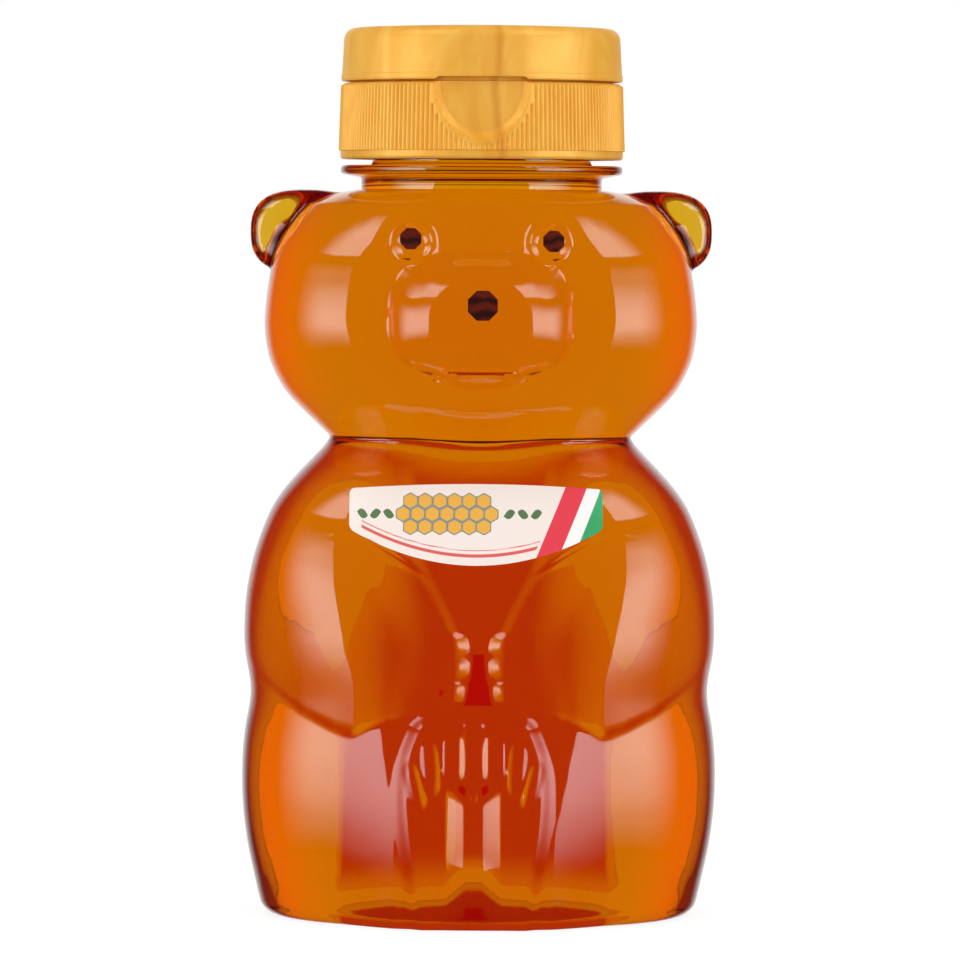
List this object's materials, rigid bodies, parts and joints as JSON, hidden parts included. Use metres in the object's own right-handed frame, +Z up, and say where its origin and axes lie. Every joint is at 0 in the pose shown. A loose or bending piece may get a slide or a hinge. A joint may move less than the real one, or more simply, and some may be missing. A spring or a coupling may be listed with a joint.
{
  "type": "honey bear bottle",
  "caption": "Squeezable bottle in the shape of a sitting bear, filled with honey, with a screw closure that has a flip-top lid over a slit valve.",
  "frame": {"origin": "on the floor under the axis of the neck, which is also the middle of the bottle's box", "axes": "+Z up along the neck, the bear faces -Y, +X is to the right as seen from the front"},
  "size_m": [0.0758, 0.0686, 0.1418],
  "materials": {
    "clear_pet": "clear blown plastic",
    "honey": "clear amber liquid",
    "foil": "satin foil",
    "gold_polypropylene": "pearly gold, fine satin",
    "silicone": "translucent matt",
    "natural_polypropylene": "satin",
    "label_paper": "satin film",
    "brown_print": "printed"
  },
  "bodies": {
    "bottle": {"bear_bottle": "clear_pet", "honey": "honey", "foil_seal": "foil", "front_label": "label_paper", "back_label": "label_paper", "eye_left": "brown_print", "eye_right": "brown_print", "nose": "brown_print"},
    "valve_carrier": {"slit_valve": "silicone", "valve_retainer": "natural_polypropylene"},
    "closure": {"cap_base": "gold_polypropylene", "hinge_film": "gold_polypropylene"},
    "lid": {"flip_lid": "gold_polypropylene"}
  },
  "joints": [
    {"name": "cap_lift", "type": "slide", "parent": "bottle", "child": "valve_carrier", "axis": [0, 0, 1], "range_m": [0, 0.0127]},
    {"name": "cap_turn", "type": "hinge", "parent": "valve_carrier", "child": "closure", "pos_m": [0, 0, 0.1205], "axis": [0, 0, 1], "range_deg": [0, 1080]},
    {"name": "lid_flip", "type": "hinge", "parent": "closure", "child": "lid", "pos_m": [0, 0.02237, 0.13285], "axis": [-1, 0, 0], "range_deg": [0, 150], "deforming": ["hinge_film"]}
  ],
  "couplings": [
    {"joint": "cap_lift", "follows": "cap_turn", "m_per_rad": 0.0006737}
  ]
}
